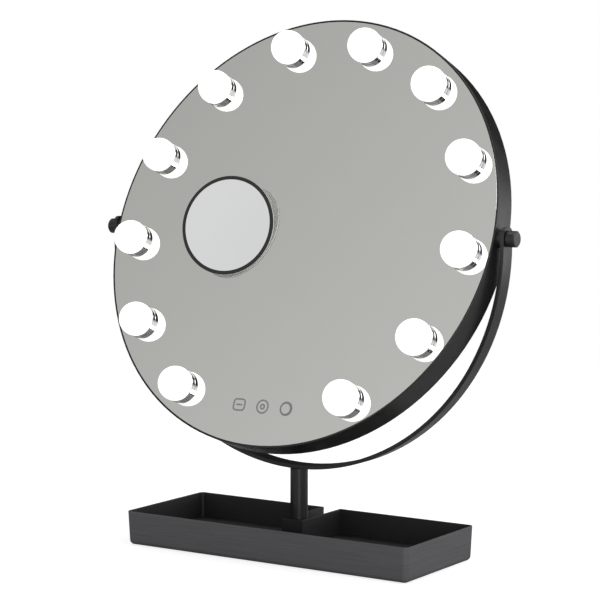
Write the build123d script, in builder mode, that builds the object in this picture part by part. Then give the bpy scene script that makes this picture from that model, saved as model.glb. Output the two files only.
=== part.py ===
"""Round lighted vanity mirror: a tilting head on a U bracket, a swivelling magnifier and a lift-off tray."""
import os
from math import cos, radians, sin, sqrt, tan

from build123d import *

os.makedirs("parts", exist_ok=True)

# ---- Driving dimensions, in millimetres and degrees ----
# Heights on the head are measured along the glass's normal, from the tilt axis towards the user.
HEAD_R = 230
HEAD_LEAN = 20.5
TILT_AXIS_Y = 4
TILT_AXIS_Z = 333
RIM_FRONT = 12
RIM_REAR = -18
RIM_WALL = 1.2
LEDGE_TOP = 7.2
LEDGE_T = 1.5
LEDGE_INNER_R = 221
FLANGE_INNER_R = 208
SHEET_FIT = 0.3

GLASS_FRONT = 11.7
GLASS_T = 4
GLASS_BACK = GLASS_FRONT - GLASS_T
COVER_T = 2

# Lamps stand on one circle, evenly spaced but for a gap at the bottom for the touch controls.
LAMP_COUNT = 12
LAMP_CIRCLE_R = 201.3
LAMP_GAP = 60
GLOBE_R = 18
GLOBE_CENTRE = 11.6
GLOBE_WALL = 1.2
COLLAR_R = 17.2
COLLAR_H = 5
COLLAR_WALL = 1.9
COLLAR_FLOOR_T = 1.2
HOLDER_NECK_R = 6.6

# Tilt pivots: M6 clamp studs along X.
STUD_R = 3
RUNNING_FIT = 0.05
BOSS_NECK_R = 4.8
BOSS_FLANGE_R = 9
WASHER_R = 8.8
KNOB_R = 8
KNOB_L = 9.8

# U bracket and pole: the strip's arc is centred a little below the tilt axis.
BRACKET_INNER_R = 234.8
BRACKET_T = 4
BRACKET_OUTER_R = BRACKET_INNER_R + BRACKET_T
BRACKET_W = 18
BRACKET_DROP = 6.2
BRACKET_RISE = 11
POLE_R = 9.2
POLE_BORE_R = 7.4

# Base plate and tray: the tray's length and depth are at its foot, and its walls lean outwards.
PAD_T = 1.5
PLATE_L = 300
PLATE_D = 116
PLATE_T = 5
PLATE_TOP = PAD_T + PLATE_T
PLATE_CORNER_R = 8
TRAY_L = 341.4
TRAY_D = 132.4
TRAY_DRAFT = 2.2
TRAY_Y = -4
TRAY_BOTTOM = 0.4
TRAY_TOP = 36.2
TRAY_WALL = 2.6
TRAY_CORNER_R = 5.5
TRAY_FOOT_R = 5
TRAY_EDGE_R = 0.7
PLATE_POCKET_FIT = 2
SLOT_W = 20.4
SLOT_FRONT_Y = -10.5

# Magnifier: a thin disc on a ball that stands on a magnetic foot.
MAGNIFIER_X = -77
MAGNIFIER_Y = -2
MAGNIFIER_R = 52.2
MAGNIFIER_TURN = 9.4
MAGNIFIER_NOD = 7.4
BALL_HEIGHT = 8.1
BALL_R = 2.6
BALL_POST_R = 1.7
LINER_T = 0.55
DISC_BACK = 3.3
DISC_FRONT = 5.5
BEZEL_W = 3.8
BEZEL_T = 0.9
LENS_SAG = 0.6
LENS_EDGE_T = 1.1

# ---- Frames ----
HEAD = Plane(
    origin=(0, TILT_AXIS_Y, TILT_AXIS_Z),
    x_dir=(1, 0, 0),
    z_dir=(0, -cos(radians(HEAD_LEAN)), sin(radians(HEAD_LEAN))),
)


def head_seat(x=0, y=0, height=0):
    """A plane parallel to the glass, at x to the right, y up the glass and the given height."""
    return Plane(origin=HEAD.from_local_coords((x, y, height)), x_dir=HEAD.x_dir, z_dir=HEAD.z_dir)


def side_seat(side):
    """A plane across the tilt axis, whose normal points out of the left (-1) or right (1) side."""
    return Plane(origin=HEAD.origin, x_dir=(0, 1, 0), z_dir=(side, 0, 0))


def axis_of(seat):
    return Axis(seat.origin, seat.z_dir)


def half_plane(seat):
    """The plane through a seat's normal on which a turned part's half section is drawn."""
    return Plane(origin=seat.origin, x_dir=seat.x_dir, z_dir=-seat.y_dir)


def section(seat, *points):
    """A closed half section with straight sides, from (radius, height) points."""
    with BuildSketch(half_plane(seat)) as drawn:
        with BuildLine():
            Polyline(*points, close=True)
        make_face()
    return drawn.sketch


def ring(seat, inner_r, outer_r, low, high):
    """The half section of a plain ring or, with an inner radius of 0, of a plain disc."""
    return section(seat, (inner_r, low), (outer_r, low), (outer_r, high), (inner_r, high))


def write(piece, label):
    piece.part.label = label
    export_step(piece.part, f"parts/{label}.step")


lamp_step = (360 - LAMP_GAP) / (LAMP_COUNT - 1)
lamp_angles = [LAMP_GAP / 2 - 90 + lamp_step * lamp for lamp in range(LAMP_COUNT)]
lamp_seats = [
    head_seat(LAMP_CIRCLE_R * cos(radians(angle)), LAMP_CIRCLE_R * sin(radians(angle)), GLASS_FRONT)
    for angle in lamp_angles
]
SIDES = {"left": -1, "right": 1}

# ---- Head shell: rim, back cover and screws ----
FLANGE_T = 1.6
flange_rear = RIM_REAR + COVER_T
rim_inner_r = HEAD_R - RIM_WALL
SCREW_COUNT = 8
SCREW_CIRCLE_R = 216
SCREW_R = 1.9
SCREW_HEAD_R = 3.4
SCREW_HEAD_T = 1.6
SCREW_L = 6
EDGE_SOFT_R = 0.6

with BuildPart() as rim:
    revolve(
        section(
            HEAD,
            (HEAD_R, RIM_REAR),
            (HEAD_R, RIM_FRONT),
            (rim_inner_r, RIM_FRONT),
            (rim_inner_r, LEDGE_TOP),
            (LEDGE_INNER_R, LEDGE_TOP),
            (LEDGE_INNER_R, LEDGE_TOP - LEDGE_T),
            (rim_inner_r, LEDGE_TOP - LEDGE_T),
            (rim_inner_r, flange_rear + FLANGE_T),
            (FLANGE_INNER_R, flange_rear + FLANGE_T),
            (FLANGE_INNER_R, flange_rear),
            (rim_inner_r, flange_rear),
            (rim_inner_r, RIM_REAR),
        ),
        axis=axis_of(HEAD),
    )
    outer_edges = edges().filter_by(GeomType.CIRCLE).filter_by(lambda e: abs(e.radius - HEAD_R) < 0.01)
    fillet(outer_edges, radius=EDGE_SOFT_R)
    with BuildSketch(side_seat(1)):
        Circle(BOSS_NECK_R + RUNNING_FIT)
    extrude(amount=HEAD_R + 1, both=True, mode=Mode.SUBTRACT)
    with BuildSketch(head_seat(height=flange_rear)):
        with PolarLocations(SCREW_CIRCLE_R, SCREW_COUNT, start_angle=180 / SCREW_COUNT):
            Circle(SCREW_R + RUNNING_FIT)
    extrude(amount=FLANGE_T, mode=Mode.SUBTRACT)
write(rim, "rim")

INLET_Y = -165
INLET_R = 5.5
BOARD_Y = -115
BOARD_L = 80
BOARD_W = 50
BOARD_BACK = -8
BOARD_T = 1.6
BOARD_CORNER_R = 2
STANDOFF_INSET = 5
STANDOFF_R = 3
GROOVE_W = 5
GROOVE_DEPTH = 0.8
VENT_Y = 120
VENT_COUNT = 5
VENT_PITCH = 8
VENT_L = 70
VENT_W = 3
cover_r = rim_inner_r - SHEET_FIT
cover_front = RIM_REAR + COVER_T

with BuildPart() as back_cover:
    revolve(ring(HEAD, 0, cover_r, RIM_REAR, cover_front), axis=axis_of(HEAD))
    # Stiffening grooves rolled into the rear face.
    for groove_r in (184, 60):
        groove = ring(HEAD, groove_r, groove_r + GROOVE_W, RIM_REAR, RIM_REAR + GROOVE_DEPTH)
        revolve(groove, axis=axis_of(HEAD), mode=Mode.SUBTRACT)
    with BuildSketch(head_seat(0, BOARD_Y, cover_front)):
        with GridLocations(BOARD_L - 2 * STANDOFF_INSET, BOARD_W - 2 * STANDOFF_INSET, 2, 2):
            Circle(STANDOFF_R)
    extrude(amount=BOARD_BACK - cover_front)
    with BuildSketch(head_seat(height=RIM_REAR)):
        with PolarLocations(SCREW_CIRCLE_R, SCREW_COUNT, start_angle=180 / SCREW_COUNT):
            Circle(SCREW_R + SHEET_FIT)
        with Locations((0, INLET_Y)):
            Circle(INLET_R + RUNNING_FIT)
        with Locations((0, VENT_Y)):
            with GridLocations(0, VENT_PITCH, 1, VENT_COUNT):
                SlotOverall(VENT_L, VENT_W)
    extrude(amount=COVER_T, mode=Mode.SUBTRACT)
write(back_cover, "back_cover")

RECESS_L = 3.2
RECESS_W = 0.7
RECESS_DEPTH = 0.9
with BuildPart() as back_cover_screws:
    for screw in range(SCREW_COUNT):
        angle = radians((screw + 0.5) * 360 / SCREW_COUNT)
        seat = head_seat(SCREW_CIRCLE_R * cos(angle), SCREW_CIRCLE_R * sin(angle), RIM_REAR)
        pan_screw = section(seat, (0, -SCREW_HEAD_T), (0.65 * SCREW_HEAD_R, -SCREW_HEAD_T),
                            (SCREW_HEAD_R, -0.5 * SCREW_HEAD_T), (SCREW_HEAD_R, 0),
                            (SCREW_R, 0), (SCREW_R, SCREW_L), (0, SCREW_L))
        revolve(pan_screw, axis=axis_of(seat))
        with BuildSketch(seat.offset(-SCREW_HEAD_T)):
            Rectangle(RECESS_L, RECESS_W)
            Rectangle(RECESS_W, RECESS_L)
        extrude(amount=RECESS_DEPTH, mode=Mode.SUBTRACT)
write(back_cover_screws, "back_cover_screws")

# ---- Mirror glass and what is bonded to it ----
glass_r = rim_inner_r - SHEET_FIT

with BuildPart() as mirror_glass:
    revolve(ring(HEAD, 0, glass_r, GLASS_BACK, GLASS_FRONT), axis=axis_of(HEAD))
    chamfer(edges().filter_by(GeomType.CIRCLE).sort_by(axis_of(HEAD))[-1], length=EDGE_SOFT_R)
    for seat in lamp_seats:
        with BuildSketch(seat):
            Circle(HOLDER_NECK_R + RUNNING_FIT)
        extrude(amount=-GLASS_T, mode=Mode.SUBTRACT)
write(mirror_glass, "mirror_glass")

with BuildPart() as glass_tape:
    revolve(ring(HEAD, LEDGE_INNER_R + 0.5, glass_r, LEDGE_TOP, GLASS_BACK), axis=axis_of(HEAD))
write(glass_tape, "glass_tape")

# Touch symbols: mode, power and brightness, printed on the face of the glass a little right of its middle.
ICON_Y = -188
ICON_X = 4
ICON_PITCH = 28.5
ICON_LINE = 1.6
ICON_W = 15
ICON_H = 13
ICON_CORNER_R = 4
POWER_R = 7.4
POWER_DOT_R = 3
DIMMER_R = 7.4
DIMMER_HOLE_R = 5.2
PRINT_T = 0.15

with BuildPart() as touch_marks:
    with BuildSketch(head_seat(ICON_X - ICON_PITCH, ICON_Y, GLASS_FRONT)):
        RectangleRounded(ICON_W, ICON_H, ICON_CORNER_R)
        RectangleRounded(ICON_W - 2 * ICON_LINE, ICON_H - 2 * ICON_LINE, ICON_CORNER_R - ICON_LINE,
                         mode=Mode.SUBTRACT)
        SlotOverall(ICON_W / 2, ICON_LINE)
    extrude(amount=PRINT_T)
    with BuildSketch(head_seat(ICON_X, ICON_Y, GLASS_FRONT)):
        for icon_r in (POWER_R, POWER_DOT_R):
            Circle(icon_r)
            Circle(icon_r - ICON_LINE, mode=Mode.SUBTRACT)
    extrude(amount=PRINT_T)
    with BuildSketch(head_seat(ICON_X + ICON_PITCH, ICON_Y, GLASS_FRONT)):
        Circle(DIMMER_R)
        with Locations((ICON_LINE - DIMMER_R + DIMMER_HOLE_R, 0)):
            Circle(DIMMER_HOLE_R, mode=Mode.SUBTRACT)
    extrude(amount=PRINT_T)
write(touch_marks, "touch_marks")

TOUCH_BOARD_L = 96
TOUCH_BOARD_W = 18
TOUCH_BOARD_T = 1.2
SENSOR_L = 7
SENSOR_W = 5
SENSOR_T = 1.4
with BuildPart() as touch_board:
    with BuildSketch(head_seat(ICON_X, ICON_Y, GLASS_BACK)):
        RectangleRounded(TOUCH_BOARD_L, TOUCH_BOARD_W, BOARD_CORNER_R)
    extrude(amount=-TOUCH_BOARD_T)
    with BuildSketch(head_seat(ICON_X, ICON_Y, GLASS_BACK - TOUCH_BOARD_T)):
        with GridLocations(ICON_PITCH, 0, 3, 1):
            Rectangle(SENSOR_L, SENSOR_W)
    extrude(amount=-SENSOR_T)
write(touch_board, "touch_board")

KEEPER_R = 16
KEEPER_T = 1
with BuildPart() as magnet_keeper:
    keeper_seat = head_seat(MAGNIFIER_X, MAGNIFIER_Y, GLASS_BACK)
    revolve(ring(keeper_seat, 0, KEEPER_R, -KEEPER_T, 0), axis=axis_of(keeper_seat))
write(magnet_keeper, "magnet_keeper")

# ---- Lamps: chrome collar, milky globe, screw holder and light board at each place ----
collar_bore_r = COLLAR_R - COLLAR_WALL
globe_neck_r = collar_bore_r - SHEET_FIT
lamp_board_r = globe_neck_r - SHEET_FIT
lamp_board_low = COLLAR_FLOOR_T + 0.2
lamp_board_high = lamp_board_low + 1.2
emitter_r = 5
emitter_high = lamp_board_high + 1
neck_low = emitter_high + 0.2


def collar(seat):
    """A chrome cup that stands on the glass around the holder's neck."""
    soft = 0.5
    with BuildPart() as cup:
        revolve(
            section(
                seat,
                (HOLDER_NECK_R + RUNNING_FIT, 0),
                (COLLAR_R + soft, 0),
                (COLLAR_R + soft, soft),
                (COLLAR_R, 2 * soft),
                (COLLAR_R, COLLAR_H - soft),
                (COLLAR_R - soft, COLLAR_H),
                (collar_bore_r, COLLAR_H),
                (collar_bore_r, COLLAR_FLOOR_T),
                (HOLDER_NECK_R + RUNNING_FIT, COLLAR_FLOOR_T),
            ),
            axis=axis_of(seat),
        )
    return cup


def globe(seat):
    """A hollow ball cut flat where it meets the collar, with a short neck that screws into it."""
    inner_r = GLOBE_R - GLOBE_WALL
    floor = COLLAR_H + GLOBE_WALL
    cut_r = sqrt(GLOBE_R**2 - (GLOBE_CENTRE - COLLAR_H) ** 2)
    floor_r = sqrt(inner_r**2 - (GLOBE_CENTRE - floor) ** 2)
    neck_inner_r = globe_neck_r - GLOBE_WALL
    with BuildPart() as ball:
        with BuildSketch(half_plane(seat)) as half:
            with BuildLine():
                Polyline((floor_r, floor), (neck_inner_r, floor), (neck_inner_r, neck_low),
                         (globe_neck_r, neck_low), (globe_neck_r, COLLAR_H), (cut_r, COLLAR_H))
                ThreePointArc((cut_r, COLLAR_H), (GLOBE_R, GLOBE_CENTRE), (0, GLOBE_CENTRE + GLOBE_R))
                Line((0, GLOBE_CENTRE + GLOBE_R), (0, GLOBE_CENTRE + inner_r))
                ThreePointArc((0, GLOBE_CENTRE + inner_r), (inner_r, GLOBE_CENTRE), (floor_r, floor))
            make_face()
            fillet(half.vertices().sort_by_distance((cut_r, COLLAR_H))[0], radius=1.1)
        revolve(axis=axis_of(seat))
    return ball


for number, seat in enumerate(lamp_seats, start=1):
    write(collar(seat), f"lamp_collar_{number:02d}")
    write(globe(seat), f"lamp_globe_{number:02d}")

HOLDER_R = 10.5
HOLDER_BORE_R = 4
holder_rear = -13
with BuildPart() as lamp_holders:
    for seat in lamp_seats:
        threaded_body = section(
            seat,
            (HOLDER_BORE_R, holder_rear),
            (HOLDER_R, holder_rear),
            (HOLDER_R, -GLASS_T),
            (HOLDER_NECK_R, -GLASS_T),
            (HOLDER_NECK_R, lamp_board_low),
            (HOLDER_BORE_R, lamp_board_low),
        )
        revolve(threaded_body, axis=axis_of(seat))
write(lamp_holders, "lamp_holders")

with BuildPart() as lamp_boards:
    for seat in lamp_seats:
        board_and_emitter = section(
            seat,
            (0, lamp_board_low),
            (lamp_board_r, lamp_board_low),
            (lamp_board_r, lamp_board_high),
            (emitter_r, lamp_board_high),
            (emitter_r, emitter_high),
            (0, emitter_high),
        )
        revolve(board_and_emitter, axis=axis_of(seat))
write(lamp_boards, "lamp_boards")

# ---- Electrics behind the glass ----
LOOM_R = 1.5
loom_height = GLASS_FRONT + holder_rear - LOOM_R - 0.2
SOCKET_X = 34
SOCKET_Y = -124
SOCKET_L = 10
SOCKET_W = 8
SOCKET_H = 6
COIL_L = 26
COIL_W = 16
CAPACITOR_R = 5
TALL_PART_H = 8
LEAD_L = 28
LEAD_BEND_R = 9

with BuildPart() as control_board:
    with BuildSketch(head_seat(0, BOARD_Y, BOARD_BACK)):
        RectangleRounded(BOARD_L, BOARD_W, BOARD_CORNER_R)
    extrude(amount=BOARD_T)
    with BuildSketch(head_seat(0, BOARD_Y, BOARD_BACK + BOARD_T)):
        with Locations((-2, 10)):
            Rectangle(COIL_L, COIL_W)
        with Locations((20, 12), (20, -2)):
            Circle(CAPACITOR_R)
    extrude(amount=TALL_PART_H)
    with BuildSketch(head_seat(0, SOCKET_Y, BOARD_BACK + BOARD_T)):
        with GridLocations(2 * SOCKET_X, 0, 2, 1):
            Rectangle(SOCKET_L, SOCKET_W)
    extrude(amount=SOCKET_H)
write(control_board, "control_board")

with BuildPart() as wiring_loom:
    ring_seat = head_seat(height=loom_height)
    with BuildLine(ring_seat) as ring_path:
        CenterArc((0, 0), LAMP_CIRCLE_R, lamp_angles[0], 360 - LAMP_GAP)
    with BuildSketch(Plane(origin=ring_path.line @ 0, z_dir=ring_path.line % 0)):
        Circle(LOOM_R)
    sweep(path=ring_path.line)
    end_x = LAMP_CIRCLE_R * cos(radians(lamp_angles[0]))
    end_y = LAMP_CIRCLE_R * sin(radians(lamp_angles[0]))
    for side in SIDES.values():
        with BuildLine(ring_seat) as lead_path:
            FilletPolyline(
                (side * end_x, end_y),
                (side * (end_x - LEAD_L * cos(radians(30))), end_y - LEAD_L * sin(radians(30))),
                (side * (SOCKET_X + LEAD_L), SOCKET_Y),
                (side * (SOCKET_X + SOCKET_L / 2), SOCKET_Y),
                radius=LEAD_BEND_R,
            )
        with BuildSketch(Plane(origin=lead_path.line @ 0, z_dir=lead_path.line % 0)):
            Circle(LOOM_R)
        sweep(path=lead_path.line)
write(wiring_loom, "wiring_loom")

INLET_DEPTH = 11
INLET_FLANGE_R = 8
INLET_FLANGE_T = 1.2
SOCKET_BORE_R = 2.75
SOCKET_BORE_END = 8.5
PIN_R = 1
PIN_TIP = -0.4
with BuildPart() as power_inlet:
    inlet_seat = head_seat(0, INLET_Y, RIM_REAR)
    jack = section(
        inlet_seat,
        (0, INLET_DEPTH),
        (INLET_R, INLET_DEPTH),
        (INLET_R, 0),
        (INLET_FLANGE_R, 0),
        (INLET_FLANGE_R, -INLET_FLANGE_T),
        (SOCKET_BORE_R, -INLET_FLANGE_T),
        (SOCKET_BORE_R, SOCKET_BORE_END),
        (PIN_R, SOCKET_BORE_END),
        (PIN_R, PIN_TIP),
        (0, PIN_TIP),
    )
    revolve(jack, axis=axis_of(inlet_seat))
write(power_inlet, "power_inlet")

# ---- Tilt pivots, one set a side ----
BACKING_INNER_X = 215
BACKING_OUTER_X = 227.9
BACKING_H = 28
BOSS_FACE_X = 232.4
WASHER_FACE_X = 234.5
KNOB_FACE_X = BRACKET_OUTER_R + 0.3
STUD_END_X = KNOB_FACE_X + 6.5
STUD_BOND = 0.02
backing_low = flange_rear + FLANGE_T + 0.2
backing_high = LEDGE_TOP - LEDGE_T - 0.2

for name, side in SIDES.items():
    seat = side_seat(side)
    pivot = axis_of(seat)

    with BuildPart() as pivot_boss:
        flanged_bush = section(
            seat,
            (STUD_R + RUNNING_FIT, BACKING_INNER_X),
            (BOSS_NECK_R, BACKING_INNER_X),
            (BOSS_NECK_R, HEAD_R),
            (BOSS_FLANGE_R, HEAD_R),
            (BOSS_FLANGE_R, BOSS_FACE_X),
            (STUD_R + RUNNING_FIT, BOSS_FACE_X),
        )
        revolve(flanged_bush, axis=pivot)
    write(pivot_boss, f"pivot_boss_{name}")

    with BuildPart() as pivot_backing:
        with BuildSketch(head_seat(side * (BACKING_INNER_X + BACKING_OUTER_X) / 2, 0, backing_low)):
            Rectangle(BACKING_OUTER_X - BACKING_INNER_X, BACKING_H)
        extrude(amount=backing_high - backing_low)
        with BuildSketch(seat):
            Circle(BOSS_NECK_R + RUNNING_FIT)
        extrude(amount=HEAD_R, mode=Mode.SUBTRACT)
    write(pivot_backing, f"pivot_backing_{name}")

    with BuildPart() as friction_washer:
        revolve(ring(seat, STUD_R + RUNNING_FIT, WASHER_R, BOSS_FACE_X, WASHER_FACE_X), axis=pivot)
    write(friction_washer, f"friction_washer_{name}")

    with BuildPart() as knob_stud:
        revolve(ring(seat, 0, STUD_R, BACKING_INNER_X + 2, STUD_END_X), axis=pivot)
    write(knob_stud, f"knob_stud_{name}")

    with BuildPart() as knob:
        turned_knob = section(
            seat,
            (STUD_R + STUD_BOND, KNOB_FACE_X),
            (KNOB_R - EDGE_SOFT_R, KNOB_FACE_X),
            (KNOB_R, KNOB_FACE_X + EDGE_SOFT_R),
            (KNOB_R, KNOB_FACE_X + KNOB_L - 1),
            (KNOB_R - 1, KNOB_FACE_X + KNOB_L),
            (0, KNOB_FACE_X + KNOB_L),
            (0, STUD_END_X),
            (STUD_R + STUD_BOND, STUD_END_X),
        )
        revolve(turned_knob, axis=pivot)
    write(knob, f"knob_{name}")

# ---- U bracket: a half ring of flat strip whose arms run straight up past the tilt axis ----
arc_centre_z = TILT_AXIS_Z - BRACKET_DROP
bracket_plane = Plane(origin=(0, TILT_AXIS_Y, arc_centre_z), x_dir=(1, 0, 0), z_dir=(0, -1, 0))
arm_h = BRACKET_DROP + BRACKET_RISE
ARM_END_R = 6

with BuildPart() as u_bracket:
    with BuildSketch(bracket_plane):
        Circle(BRACKET_OUTER_R)
        Circle(BRACKET_INNER_R, mode=Mode.SUBTRACT)
        with Locations((0, BRACKET_OUTER_R)):
            Rectangle(2 * BRACKET_OUTER_R, 2 * BRACKET_OUTER_R, mode=Mode.SUBTRACT)
        for side in SIDES.values():
            with Locations((side * (BRACKET_INNER_R + BRACKET_T / 2), arm_h / 2)):
                Rectangle(BRACKET_T, arm_h)
    extrude(amount=BRACKET_W / 2, both=True)
    end_corners = edges().filter_by(Axis.X).group_by(Axis.Z)[-1]
    fillet(end_corners, radius=ARM_END_R)
    with BuildSketch(side_seat(1)):
        Circle(STUD_R + RUNNING_FIT)
    extrude(amount=BRACKET_OUTER_R + 1, both=True, mode=Mode.SUBTRACT)
write(u_bracket, "u_bracket")

# ---- Pole and base ----
pole_top = arc_centre_z - BRACKET_OUTER_R
POLE_CAP_T = 3

with BuildPart() as pole:
    revolve(
        section(
            Plane.XY,
            (0, pole_top - POLE_CAP_T),
            (POLE_BORE_R, pole_top - POLE_CAP_T),
            (POLE_BORE_R, PLATE_TOP),
            (POLE_R, PLATE_TOP),
            (POLE_R, pole_top),
            (0, pole_top),
        ),
        axis=Axis.Z,
    )
write(pole, "pole")

BOLT_R = 4
INSERT_TOP = PLATE_TOP + 20
CSK_DEPTH = 4
BOLT_FIT = 0.2
HEX_R = 2.5
HEX_DEPTH = 2.5
with BuildPart() as pole_insert:
    revolve(ring(Plane.XY, BOLT_R + STUD_BOND, POLE_BORE_R - STUD_BOND, PLATE_TOP, INSERT_TOP), axis=Axis.Z)
write(pole_insert, "pole_insert")

with BuildPart() as pole_bolt:
    revolve(
        section(
            Plane.XY,
            (HEX_R, PAD_T),
            (2 * BOLT_R, PAD_T),
            (BOLT_R, PAD_T + CSK_DEPTH),
            (BOLT_R, INSERT_TOP - 2),
            (0, INSERT_TOP - 2),
            (0, PAD_T + HEX_DEPTH),
            (HEX_R, PAD_T + HEX_DEPTH),
        ),
        axis=Axis.Z,
    )
write(pole_bolt, "pole_bolt")

with BuildPart() as base_plate:
    with BuildSketch(Plane.XY.offset(PAD_T)):
        with Locations((0, TRAY_Y)):
            RectangleRounded(PLATE_L, PLATE_D, PLATE_CORNER_R)
    extrude(amount=PLATE_T)
    chamfer(edges().group_by(Axis.Z)[-1], length=EDGE_SOFT_R)
    bolt_hole = section(
        Plane.XY,
        (0, PAD_T),
        (2 * BOLT_R + BOLT_FIT, PAD_T),
        (BOLT_R + BOLT_FIT, PAD_T + CSK_DEPTH),
        (BOLT_R + BOLT_FIT, PLATE_TOP),
        (0, PLATE_TOP),
    )
    revolve(bolt_hole, axis=Axis.Z, mode=Mode.SUBTRACT)
write(base_plate, "base_plate")

PAD_INSET = 4
with BuildPart() as base_pad:
    with BuildSketch():
        with Locations((0, TRAY_Y)):
            RectangleRounded(PLATE_L - 2 * PAD_INSET, PLATE_D - 2 * PAD_INSET, PLATE_CORNER_R - PAD_INSET)
    extrude(amount=PAD_T)
write(base_pad, "base_pad")

# ---- Tray: an open box with a raised floor, slotted from the rear so that it drops past the pole ----
floor_low = PLATE_TOP + 0.1
floor_high = floor_low + TRAY_WALL


def tray_size(height, inset=0):
    """Length and depth of the tray's leaning walls at a height, moved in by the inset."""
    grow = 2 * (height - TRAY_BOTTOM) * tan(radians(TRAY_DRAFT)) - 2 * inset
    return TRAY_L + grow, TRAY_D + grow


inner_rear_y = TRAY_Y + tray_size(TRAY_TOP, TRAY_WALL)[1] / 2
slot_wall_l = inner_rear_y + 0.1 - (SLOT_FRONT_Y - TRAY_WALL)
slot_l = inner_rear_y + 2 * TRAY_WALL - SLOT_FRONT_Y

with BuildPart() as tray:
    for height in (TRAY_BOTTOM, TRAY_TOP):
        with BuildSketch(Plane((0, TRAY_Y, height))):
            RectangleRounded(*tray_size(height), TRAY_CORNER_R)
    loft(ruled=True)
    fillet(edges().group_by(Axis.Z)[0], radius=TRAY_FOOT_R)
    for height in (floor_high, TRAY_TOP):
        with BuildSketch(Plane((0, TRAY_Y, height))):
            RectangleRounded(*tray_size(height, TRAY_WALL), TRAY_CORNER_R - TRAY_WALL)
    loft(ruled=True, mode=Mode.SUBTRACT)
    # The pocket underneath, which drops over the base plate.
    with BuildSketch(Plane((0, TRAY_Y, floor_low))):
        Rectangle(PLATE_L + 2 * PLATE_POCKET_FIT, PLATE_D + 2 * PLATE_POCKET_FIT)
    extrude(amount=-floor_low, mode=Mode.SUBTRACT)
    # The slot's three walls stand inside the box.
    with BuildSketch(Plane.XY.offset(floor_low)):
        with Locations((0, SLOT_FRONT_Y - TRAY_WALL + slot_wall_l / 2)):
            Rectangle(SLOT_W + 2 * TRAY_WALL, slot_wall_l)
    extrude(amount=TRAY_TOP - floor_low)
    with BuildSketch():
        with Locations((0, SLOT_FRONT_Y + slot_l / 2)):
            Rectangle(SLOT_W, slot_l)
    extrude(amount=TRAY_TOP, mode=Mode.SUBTRACT)
    fillet(edges().group_by(Axis.Z)[-1], radius=TRAY_EDGE_R)
write(tray, "tray")

# ---- Magnifier: foot, ball, liner and disc, turned and nodded away from the glass ----
foot_seat = head_seat(MAGNIFIER_X, MAGNIFIER_Y, GLASS_FRONT)
ball_seat = head_seat(MAGNIFIER_X, MAGNIFIER_Y, GLASS_FRONT + BALL_HEIGHT)
disc_normal = HEAD.z_dir.rotate(Axis((0, 0, 0), HEAD.y_dir), MAGNIFIER_TURN)
disc_normal = disc_normal.rotate(Axis((0, 0, 0), HEAD.x_dir), MAGNIFIER_NOD)
disc_across = HEAD.x_dir - disc_normal * HEAD.x_dir.dot(disc_normal)
disc_seat = Plane(origin=ball_seat.origin, x_dir=disc_across, z_dir=disc_normal)
liner_inner_r = BALL_R + RUNNING_FIT
liner_outer_r = liner_inner_r + LINER_T
socket_r = liner_outer_r + RUNNING_FIT
FOOT_R = 12
FOOT_TOP = 3.2
MAGNET_R = 9
MAGNET_TOP = 2.4
MAGNET_FIT = 0.1
FOOT_LIFT = 0.2

with BuildPart() as magnifier_foot:
    revolve(
        section(
            foot_seat,
            (0, MAGNET_TOP),
            (MAGNET_R + MAGNET_FIT, MAGNET_TOP),
            (MAGNET_R + MAGNET_FIT, FOOT_LIFT),
            (FOOT_R, FOOT_LIFT),
            (FOOT_R, FOOT_TOP - EDGE_SOFT_R),
            (FOOT_R - EDGE_SOFT_R, FOOT_TOP),
            (BALL_POST_R, FOOT_TOP),
            (BALL_POST_R, BALL_HEIGHT),
            (0, BALL_HEIGHT),
        ),
        axis=axis_of(foot_seat),
    )
    with Locations(ball_seat.location):
        Sphere(BALL_R)
write(magnifier_foot, "magnifier_foot")

with BuildPart() as magnifier_magnet:
    magnet = ring(foot_seat, 0, MAGNET_R, 2 * FOOT_LIFT, MAGNET_TOP - MAGNET_FIT)
    revolve(magnet, axis=axis_of(foot_seat))
write(magnifier_magnet, "magnifier_magnet")

LINER_MOUTH = -1.5
with BuildPart() as ball_liner:
    with Locations(disc_seat.location):
        Sphere(liner_outer_r)
        Sphere(liner_inner_r, mode=Mode.SUBTRACT)
    with BuildSketch(disc_seat.offset(LINER_MOUTH)):
        Rectangle(4 * socket_r, 4 * socket_r)
    extrude(amount=-2 * socket_r, mode=Mode.SUBTRACT)
write(ball_liner, "ball_liner")

lens_back = DISC_BACK + 1
lens_pocket_r = MAGNIFIER_R - BEZEL_W
bezel_low = DISC_FRONT - BEZEL_T
HUB_R = 6
HUB_LOW = -2
with BuildPart() as magnifier_shell:
    revolve(
        section(
            disc_seat,
            (0, lens_back),
            (lens_pocket_r, lens_back),
            (lens_pocket_r, bezel_low),
            (MAGNIFIER_R, bezel_low),
            (MAGNIFIER_R, DISC_BACK),
            (HUB_R, DISC_BACK),
            (HUB_R, HUB_LOW),
            (0, HUB_LOW),
        ),
        axis=axis_of(disc_seat),
    )
    with Locations(disc_seat.location):
        Sphere(socket_r, mode=Mode.SUBTRACT)
write(magnifier_shell, "magnifier_shell")

with BuildPart() as magnifier_bezel:
    revolve(ring(disc_seat, lens_pocket_r, MAGNIFIER_R, bezel_low, DISC_FRONT), axis=axis_of(disc_seat))
    front_edges = edges().filter_by(GeomType.CIRCLE).group_by(axis_of(disc_seat))[-1]
    chamfer(front_edges.sort_by(SortBy.RADIUS)[-1], length=BEZEL_T / 2)
write(magnifier_bezel, "magnifier_bezel")

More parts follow.
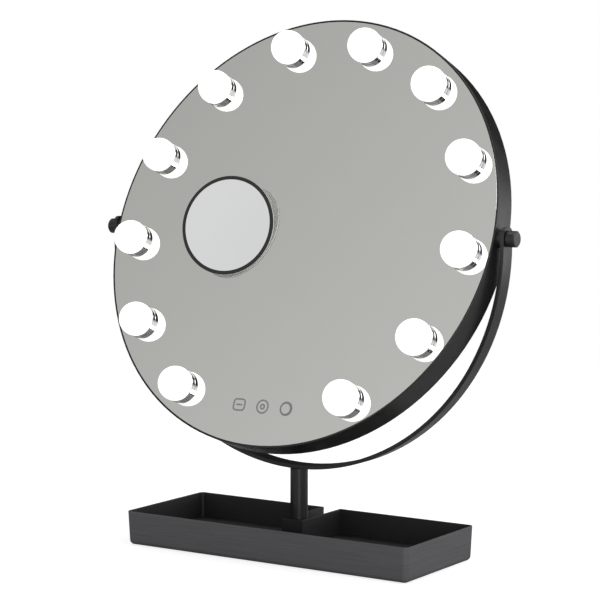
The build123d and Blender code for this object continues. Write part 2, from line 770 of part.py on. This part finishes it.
# The lens's front is a shallow bowl, cut by a ball whose centre is far out in front of the disc.
lens_r = lens_pocket_r - MAGNET_FIT
lens_edge_top = lens_back + LENS_EDGE_T
bowl_r = (lens_r**2 + LENS_SAG**2) / (2 * LENS_SAG)
bowl_seat = disc_seat.offset(lens_edge_top - LENS_SAG + bowl_r)
bowl_plane = Plane(origin=bowl_seat.origin, x_dir=disc_seat.z_dir, z_dir=disc_seat.y_dir)
with BuildPart() as magnifier_glass:
    revolve(ring(disc_seat, 0, lens_r, lens_back, lens_edge_top), axis=axis_of(disc_seat))
    with Locations(bowl_plane.location):
        Sphere(bowl_r, mode=Mode.SUBTRACT)
write(magnifier_glass, "magnifier_glass")
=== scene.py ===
"""Looks of the round lighted vanity mirror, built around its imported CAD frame."""
import math

import bpy
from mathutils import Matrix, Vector


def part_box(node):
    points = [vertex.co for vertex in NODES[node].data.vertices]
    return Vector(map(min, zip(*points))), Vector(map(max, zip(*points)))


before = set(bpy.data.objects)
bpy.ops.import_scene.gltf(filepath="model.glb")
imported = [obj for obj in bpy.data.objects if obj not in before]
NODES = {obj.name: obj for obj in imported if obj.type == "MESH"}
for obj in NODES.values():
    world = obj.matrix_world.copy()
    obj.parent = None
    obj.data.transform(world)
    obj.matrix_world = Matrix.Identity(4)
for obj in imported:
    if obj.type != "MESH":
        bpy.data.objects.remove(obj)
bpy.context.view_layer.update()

SCENE = bpy.context.scene

# ---- Driving values: lengths in metres, the draft in degrees from upright ----
TRAY_DRAFT = 2.2
TRAY_CORNER_R = 0.0055
# Where the tray's painted inside shade starts: how far in from the outer wall, and how high above the foot.
INSIDE_SHADE_DEPTH = 0.0007
INSIDE_SHADE_ABOVE_FOOT = 0.0065

FLOOR_R = 1.7
FLOOR_SIDES = 96
FLOOR_GLOW = 0.78

GLOBE_GLOW = 0.8
# A faint painted glow on the magnifier's pale shell and foot, which are no lamp.
PALE_BACK_PAINTED_GLOW = 0.09

# The studio in front of the object gets lighter along this direction, and it is light behind the object.
GRADIENT_DIRECTION = (0.729, -0.559, -0.397)
GRADIENT_START, GRADIENT_END = -0.45, 0.20
GRADIENT_DARK, GRADIENT_LIGHT = 0.36, 0.75
BEHIND_LEVEL = 1.15

# Soft patches of the studio, as the object's surfaces see it: direction, where the patch's edge starts and
# ends as a cosine, and its level.
STUDIO_PATCHES = (
    ((-0.50, 0.85, 0.12), 0.42, 0.78, 0.0),
    ((-0.95, 0.25, 0.0), 0.60, 0.88, 0.05),
    ((0.62, 0.78, -0.05), 0.90, 0.98, 1.5),
    ((0.587, -0.743, 0.320), 0.93, 0.985, 1.60),
    ((0.303, -0.581, 0.755), 0.90, 0.97, 0.05),
    ((0.401, -0.908, -0.120), 0.93, 0.985, 0.05),
)


def srgb(level):
    """The linear value of an sRGB grey level from 0 to 255."""
    c = level / 255
    return c / 12.92 if c <= 0.04045 else ((c + 0.055) / 1.055) ** 2.4


def grey(level, tint=(1, 1, 1)):
    """A colour socket's value for an sRGB grey level, tinted."""
    value = srgb(level)
    return (value * tint[0], value * tint[1], value * tint[2], 1)


# ---- Small helpers for building node materials ----
class Shader:
    """A Principled material with helpers that add and link nodes."""

    def __init__(self, name):
        self.mat = bpy.data.materials.new(name)
        self.mat.use_nodes = True
        self.tree = self.mat.node_tree
        self.bsdf = self.tree.nodes["Principled BSDF"]
        self.coords = self.tree.nodes.new("ShaderNodeTexCoord").outputs["Object"]

    def set(self, **values):
        for socket, value in values.items():
            self.bsdf.inputs[socket.replace("_", " ")].default_value = value
        return self

    def node(self, kind, **settings):
        made = self.tree.nodes.new(kind)
        for name, value in settings.items():
            setattr(made, name, value)
        return made

    def link(self, source, target):
        self.tree.links.new(source, target)

    def stretched(self, scale):
        """Object coordinates scaled per axis, for a grain that runs along one direction."""
        mapping = self.node("ShaderNodeMapping")
        mapping.inputs["Scale"].default_value = scale
        self.link(self.coords, mapping.inputs["Vector"])
        return mapping.outputs["Vector"]

    def noise(self, scale, detail=3.0, roughness=0.5, vector=None):
        made = self.node("ShaderNodeTexNoise")
        made.inputs["Scale"].default_value = scale
        made.inputs["Detail"].default_value = detail
        made.inputs["Roughness"].default_value = roughness
        self.link(vector or self.coords, made.inputs["Vector"])
        return made.outputs["Fac"]

    def remap(self, source, low, high, from_low=0.3, from_high=0.7):
        made = self.node("ShaderNodeMapRange")
        made.inputs["From Min"].default_value = from_low
        made.inputs["From Max"].default_value = from_high
        made.inputs["To Min"].default_value = low
        made.inputs["To Max"].default_value = high
        self.link(source, made.inputs["Value"])
        return made.outputs["Result"]

    def mix(self, factor, first, second):
        made = self.node("ShaderNodeMix", data_type="RGBA")
        made.inputs["A"].default_value = first
        made.inputs["B"].default_value = second
        self.link(factor, made.inputs["Factor"])
        return made.outputs["Result"]

    def colour(self, source):
        self.link(source, self.bsdf.inputs["Base Color"])

    def rough(self, source):
        self.link(source, self.bsdf.inputs["Roughness"])

    def bump(self, source, strength, distance):
        made = self.node("ShaderNodeBump")
        made.inputs["Strength"].default_value = strength
        made.inputs["Distance"].default_value = distance
        self.link(source, made.inputs["Height"])
        self.link(made.outputs["Normal"], self.bsdf.inputs["Normal"])


def give(material, *names):
    """Put one material on each of the named CAD nodes."""
    for name in names:
        slots = NODES[name].data.materials
        if slots:
            slots[0] = material
        else:
            slots.append(material)


# ---- Materials ----
def powder_coat(name, dark, light, roughness, grain=900):
    """Satin powder coat: a fine orange-peel surface with a little cloudiness in colour and gloss."""
    paint = Shader(name)
    cloud = paint.noise(14, detail=4)
    paint.colour(paint.mix(paint.remap(cloud, 0, 1), grey(dark), grey(light)))
    paint.rough(paint.remap(paint.noise(60, detail=5), roughness - 0.04, roughness + 0.06))
    paint.bump(paint.noise(grain, detail=2), 0.18, 0.0004)
    return paint.mat


def painted_shade_mask(shell):
    """Where the tray's inside is painted in shade: one on its inside faces and zero on its leaning,
    round-cornered outer walls and foot.
    """

    def calc(operation, first, second=None):
        made = shell.node("ShaderNodeMath", operation=operation)
        for index, value in enumerate((first, second)):
            if value is None:
                continue
            if isinstance(value, (int, float)):
                made.inputs[index].default_value = value
            else:
                shell.link(value, made.inputs[index])
        return made.outputs["Value"]

    def into_wall(half_size, off_centre):
        """How far a point is inside the straight outer wall on its side of the tray."""
        return calc("SUBTRACT", calc("SUBTRACT", half_size, drawn_in), calc("ABSOLUTE", off_centre))

    def squared_excess(shortfall):
        return calc("POWER", calc("MAXIMUM", shortfall, 0.0), 2.0)

    low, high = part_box("tray")
    position = shell.node("ShaderNodeSeparateXYZ")
    shell.link(shell.coords, position.inputs["Vector"])
    below_top = calc("SUBTRACT", high[2], position.outputs["Z"])
    drawn_in = calc("MULTIPLY", below_top, math.tan(math.radians(TRAY_DRAFT)))
    off_centre_y = calc("SUBTRACT", position.outputs["Y"], (low[1] + high[1]) / 2)
    depth_x = into_wall((high[0] - low[0]) / 2, position.outputs["X"])
    depth_y = into_wall((high[1] - low[1]) / 2, off_centre_y)
    corner_x = calc("SUBTRACT", TRAY_CORNER_R, depth_x)
    corner_y = calc("SUBTRACT", TRAY_CORNER_R, depth_y)
    past_corner = calc("SQRT", calc("ADD", squared_excess(corner_x), squared_excess(corner_y)))
    straight = calc("MINIMUM", calc("MAXIMUM", corner_x, corner_y), 0.0)
    depth = calc("SUBTRACT", TRAY_CORNER_R, calc("ADD", past_corner, straight))
    above_foot = calc("GREATER_THAN", position.outputs["Z"], low[2] + INSIDE_SHADE_ABOVE_FOOT)
    return calc("MULTIPLY", calc("GREATER_THAN", depth, INSIDE_SHADE_DEPTH), above_foot)


def brushed_charcoal():
    """The tray's finish: charcoal with fine brushed streaks outside, and near-black painted shade on its
    inside faces.
    """
    shell = Shader("tray_charcoal")
    streaks = shell.noise(1, detail=6, roughness=0.7, vector=shell.stretched((16, 16, 1500)))
    flecks = shell.noise(2200, detail=2)
    bluish = (1, 1, 1.06)
    outside = shell.mix(shell.remap(streaks, 0, 1), grey(72, bluish), grey(94, bluish))
    # Near-black painted shade over the tray's inside faces, where the recess lies in shade.
    painted_inside_shade = shell.node("ShaderNodeMix", data_type="RGBA")
    painted_inside_shade.inputs["B"].default_value = grey(27)
    shell.link(painted_shade_mask(shell), painted_inside_shade.inputs["Factor"])
    shell.link(outside, painted_inside_shade.inputs["A"])
    shell.colour(painted_inside_shade.outputs["Result"])
    shell.rough(shell.remap(flecks, 0.46, 0.60))
    shell.bump(streaks, 0.12, 0.0003)
    return shell.mat


def silvered(name, tint, roughness):
    """Silvered glass: a clear reflection with the faintest haze of dust."""
    glass = Shader(name)
    glass.set(Metallic=1.0)
    dust = glass.noise(40, detail=8, roughness=0.7)
    shade = tuple(0.985 * channel for channel in tint)
    glass.colour(glass.mix(glass.remap(dust, 0, 1), (*shade, 1), (*tint, 1)))
    glass.rough(glass.remap(dust, roughness, roughness + 0.006, 0.45, 0.8))
    return glass.mat


def chrome():
    """Chrome plate, a little dark, with a thin uneven film."""
    plate = Shader("chrome_plate")
    plate.set(Metallic=1.0)
    film = plate.noise(120, detail=4)
    plate.colour(plate.mix(plate.remap(film, 0, 1), (0.46, 0.46, 0.47, 1), (0.54, 0.54, 0.55, 1)))
    plate.rough(plate.remap(film, 0.06, 0.12))
    return plate.mat


def lit_globe():
    """A milky diffuser over a light source, with an even glow."""
    ball = Shader("lit_globe")
    ball.set(Roughness=0.28)
    mottle = ball.noise(30, detail=3)
    ball.colour(ball.mix(ball.remap(mottle, 0, 1), (0.93, 0.93, 0.91, 1), (0.97, 0.97, 0.95, 1)))
    ball.bsdf.inputs["Emission Color"].default_value = (1.0, 0.995, 0.98, 1)
    ball.bsdf.inputs["Emission Strength"].default_value = GLOBE_GLOW
    return ball.mat


def moulded(name, dark, light, roughness, grain=1400, tint=(1, 1, 1)):
    """Injection-moulded plastic with a fine spark-eroded texture."""
    plastic = Shader(name)
    cloud = plastic.noise(25, detail=3)
    plastic.colour(plastic.mix(plastic.remap(cloud, 0, 1), grey(dark, tint), grey(light, tint)))
    plastic.rough(plastic.remap(plastic.noise(200, detail=3), roughness - 0.05, roughness + 0.05))
    plastic.bump(plastic.noise(grain, detail=2), 0.15, 0.0002)
    return plastic.mat


def turned_steel():
    """Bare steel with fine lathe marks."""
    steel = Shader("bare_steel")
    steel.set(Metallic=1.0)
    marks = steel.noise(1, detail=5, roughness=0.7, vector=steel.stretched((1800, 90, 90)))
    steel.colour(steel.mix(steel.remap(marks, 0, 1), grey(140), grey(190)))
    steel.rough(steel.remap(marks, 0.25, 0.45))
    return steel.mat


def circuit_green():
    """Green solder mask, lighter in patches where copper lies under it."""
    board = Shader("circuit_board")
    tracks = board.noise(260, detail=1)
    copper = board.remap(tracks, 0, 1, 0.48, 0.52)
    board.colour(board.mix(copper, (0.01, 0.06, 0.025, 1), (0.02, 0.12, 0.05, 1)))
    board.rough(board.remap(tracks, 0.3, 0.45))
    return board.mat


satin_black = powder_coat("satin_black_coat", 29, 35, 0.30)
give(satin_black, "rim", "u_bracket", "pole")
give(moulded("cover_plastic", 30, 38, 0.6, grain=900), "back_cover")
give(powder_coat("plate_coat", 26, 34, 0.6), "base_plate")
give(powder_coat("knob_coat", 28, 34, 0.35), "knob_left", "knob_right")
give(brushed_charcoal(), "tray")
give(silvered("main_mirror", (0.876, 0.872, 0.840), 0.0), "mirror_glass")
give(silvered("magnifier_mirror", (0.92, 0.93, 0.925), 0.0), "magnifier_glass")
give(moulded("black_shell", 22, 30, 0.35), "magnifier_bezel", "power_inlet")
# The magnifier shell and foot are pale satin silver, with a faint painted glow that lightens their shaded
# backs, though they are no lamp.
pale_back = moulded("satin_silver_painted_glow", 205, 211, 0.45, grain=300)
pale_surface = pale_back.node_tree.nodes["Principled BSDF"]
pale_surface.inputs["Emission Color"].default_value = (1, 1, 0.98, 1)
pale_surface.inputs["Emission Strength"].default_value = PALE_BACK_PAINTED_GLOW
give(pale_back, "magnifier_shell", "magnifier_foot")
bare_steel = turned_steel()
give(bare_steel, "magnifier_magnet", "magnet_keeper", "back_cover_screws", "pole_insert", "pole_bolt")
give(moulded("nylon", 215, 225, 0.5), "ball_liner", "lamp_holders")
give(moulded("touch_print", 128, 136, 0.6), "touch_marks")
give(moulded("foam_tape", 50, 62, 0.9, grain=700), "glass_tape")
give(moulded("rubber_sheet", 38, 46, 0.85, grain=500), "base_pad")
give(circuit_green(), "lamp_boards", "control_board", "touch_board")
give(moulded("wire_sleeve", 30, 40, 0.6), "wiring_loom")
dark_nylon = moulded("dark_nylon", 30, 36, 0.5)
chrome_plate = chrome()
globe_glow = lit_globe()
for node in NODES:
    if node.startswith("lamp_collar"):
        give(chrome_plate, node)
    elif node.startswith("lamp_globe"):
        give(globe_glow, node)
    elif node.startswith("pivot_boss"):
        give(satin_black, node)
    elif node.startswith(("pivot_backing", "knob_stud")):
        give(bare_steel, node)
    elif node.startswith("friction_washer"):
        give(dark_nylon, node)


# ---- Floor, world and lights ----
def value_ramp(tree, source, from_low, from_high, low, high):
    """A value that goes smoothly from low to high as its source goes from from_low to from_high."""
    made = tree.nodes.new("ShaderNodeMapRange")
    made.interpolation_type = "SMOOTHSTEP"
    for socket, value in (("From Min", from_low), ("From Max", from_high), ("To Min", low), ("To Max", high)):
        made.inputs[socket].default_value = value
    tree.links.new(source, made.inputs["Value"])
    return made.outputs["Result"]


def stage_floor():
    """A round pale paper floor, with an even glow for the camera only, so that it fades into the backdrop."""
    mesh = bpy.data.meshes.new("floor")
    angles = [math.tau * side / FLOOR_SIDES for side in range(FLOOR_SIDES)]
    corners = [(FLOOR_R * math.cos(angle), FLOOR_R * math.sin(angle), 0) for angle in angles]
    mesh.from_pydata(corners, [], [tuple(range(FLOOR_SIDES))])
    floor = bpy.data.objects.new("floor", mesh)
    SCENE.collection.objects.link(floor)
    paper = Shader("pale_floor")
    fibres = paper.remap(paper.noise(300, detail=4), 0, 1)
    paper.colour(paper.mix(fibres, (0.40, 0.40, 0.40, 1), (0.42, 0.42, 0.42, 1)))
    paper.set(Roughness=0.95, Specular_IOR_Level=0.1)
    glow = paper.node("ShaderNodeEmission")
    glow.inputs["Strength"].default_value = FLOOR_GLOW
    seen = paper.node("ShaderNodeAddShader")
    paper.link(paper.bsdf.outputs["BSDF"], seen.inputs[0])
    paper.link(glow.outputs["Emission"], seen.inputs[1])
    choice = paper.node("ShaderNodeMixShader")
    paper.link(paper.node("ShaderNodeLightPath").outputs["Is Camera Ray"], choice.inputs[0])
    paper.link(paper.bsdf.outputs["BSDF"], choice.inputs[1])
    paper.link(seen.outputs["Shader"], choice.inputs[2])
    paper.link(choice.outputs["Shader"], paper.tree.nodes["Material Output"].inputs["Surface"])
    floor.data.materials.append(paper.mat)


def studio_world():
    """The camera sees plain white; surfaces see a soft gradient with a few lighter and darker patches."""
    world = bpy.data.worlds.new("studio")
    SCENE.world = world
    world.use_nodes = True
    tree = world.node_tree
    background = tree.nodes["Background"]
    background.inputs["Color"].default_value = (1, 1, 1, 1)
    direction = tree.nodes.new("ShaderNodeTexCoord").outputs["Generated"]

    def along(vector):
        dot = tree.nodes.new("ShaderNodeVectorMath")
        dot.operation = "DOT_PRODUCT"
        dot.inputs[1].default_value = Vector(vector).normalized()
        tree.links.new(direction, dot.inputs[0])
        return dot.outputs["Value"]

    def blend(factor, first, second):
        made = tree.nodes.new("ShaderNodeMix")
        for socket, value in (("Factor", factor), ("A", first), ("B", second)):
            if isinstance(value, (int, float)):
                made.inputs[socket].default_value = value
            else:
                tree.links.new(value, made.inputs[socket])
        return made.outputs["Result"]

    front = tree.nodes.new("ShaderNodeMapRange")
    front.inputs["From Min"].default_value = GRADIENT_START
    front.inputs["From Max"].default_value = GRADIENT_END
    front.inputs["To Min"].default_value = GRADIENT_DARK
    front.inputs["To Max"].default_value = GRADIENT_LIGHT
    tree.links.new(along(GRADIENT_DIRECTION), front.inputs["Value"])
    behind = value_ramp(tree, along((0, 1, 0)), -0.35, 0.15, 0, 1)
    level = blend(behind, front.outputs["Result"], BEHIND_LEVEL)
    for centre, outer, inner, patch_level in STUDIO_PATCHES:
        level = blend(value_ramp(tree, along(centre), outer, inner, 0, 1), level, patch_level)
    seen = tree.nodes.new("ShaderNodeLightPath").outputs["Is Camera Ray"]
    tree.links.new(blend(seen, level, 1.0), background.inputs["Strength"])


def area_light(name, location, target, size, power):
    """A rectangular softbox that faces its target."""
    data = bpy.data.lights.new(name, "AREA")
    data.shape = "RECTANGLE"
    data.size, data.size_y = size
    data.energy = power
    lamp = bpy.data.objects.new(name, data)
    SCENE.collection.objects.link(lamp)
    lamp.location = location
    lamp.rotation_mode = "QUATERNION"
    lamp.rotation_quaternion = (Vector(target) - Vector(location)).to_track_quat("-Z", "Y")


def make_camera(azimuth, elevation, distance, target, lens):
    """The scene's camera, placed round its target: azimuth from the front towards +X, angles in degrees."""
    data = bpy.data.cameras.new("camera")
    data.sensor_width = 36
    data.lens = lens
    camera = bpy.data.objects.new("camera", data)
    SCENE.collection.objects.link(camera)
    turn = math.radians(azimuth)
    rise = math.radians(elevation)
    back = Vector((math.sin(turn) * math.cos(rise), -math.cos(turn) * math.cos(rise), math.sin(rise)))
    camera.location = Vector(target) + distance * back
    camera.rotation_mode = "QUATERNION"
    camera.rotation_quaternion = (-back).to_track_quat("-Z", "Y")
    SCENE.camera = camera


stage_floor()
studio_world()
area_light("key", location=(2.2, -0.6, 2.4), target=(0, 0, 0.3), size=(1.2, 1.2), power=11)
area_light("front", location=(1.65, -2.5, 0.25), target=(0, 0, 0.2), size=(0.5, 1.0), power=19)
area_light("top", location=(0, 0.6, 3.0), target=(0, 0, 0.2), size=(2.4, 2.4), power=22)
make_camera(azimuth=33.46, elevation=4.88, distance=2.0566, target=(0.0011, 0, 0.2631), lens=119.75)
SCENE.view_settings.view_transform = "Standard"
